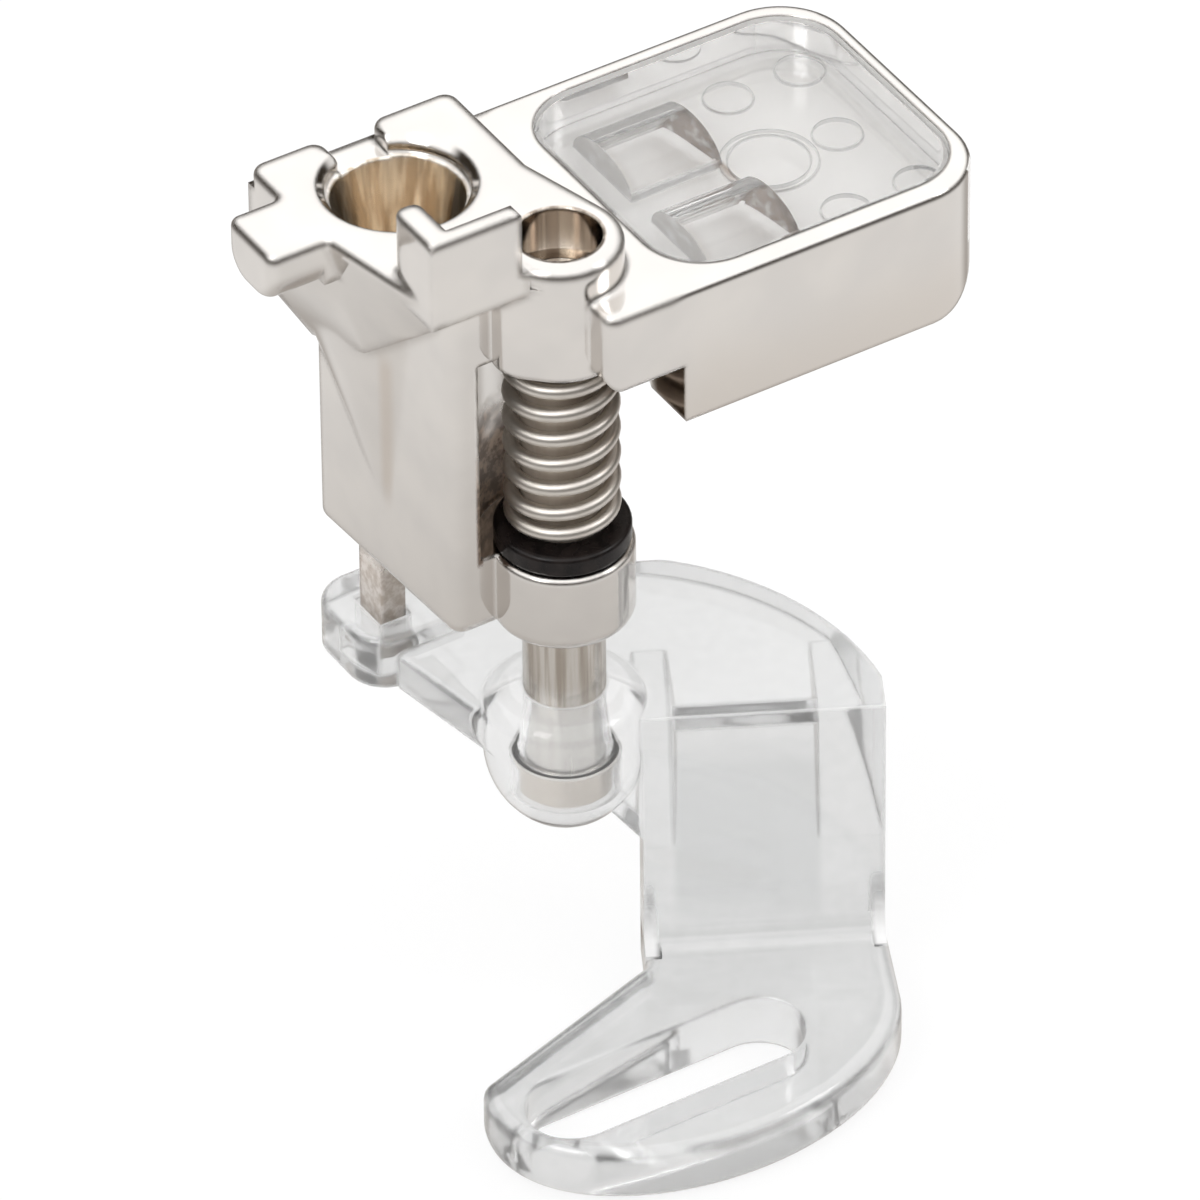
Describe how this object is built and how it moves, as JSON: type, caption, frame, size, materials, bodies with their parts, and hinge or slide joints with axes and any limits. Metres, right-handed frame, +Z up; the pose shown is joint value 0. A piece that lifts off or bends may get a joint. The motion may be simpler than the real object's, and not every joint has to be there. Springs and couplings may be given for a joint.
{
  "type": "sewing machine presser foot",
  "caption": "Sprung embroidery presser foot: plated shank with a tapered socket and a side lens housing, and a clear slotted sole that slides up on a guide pin.",
  "frame": {"origin": "on the axis of the tapered socket, in its parallel land just under the head's top face", "axes": "+Z up along the socket, +X to the right along the needle slot, -Y to the front"},
  "size_m": [0.0253, 0.0231, 0.0365],
  "materials": {
    "plated_casting": "polished nickel plating",
    "clear_lens": "clear, slightly milky",
    "pin_steel": "ground steel",
    "spring_steel": "drawn spring wire",
    "black_ring": "satin black",
    "clear_plastic": "clear, polished"
  },
  "bodies": {
    "shank": {"shank_body": "plated_casting", "sensor_lens": "clear_lens", "compression_spring": "spring_steel"},
    "sole": {"clear_sole": "clear_plastic", "plunger_pin": "pin_steel", "stop_ring": "black_ring"}
  },
  "joints": [
    {"name": "sole_lift", "type": "slide", "parent": "shank", "child": "sole", "axis": [0, 0, 1], "range_m": [0, 0.003], "stiffness_N_per_m": 300, "springref_m": -0.004, "deforming": ["compression_spring"]}
  ]
}
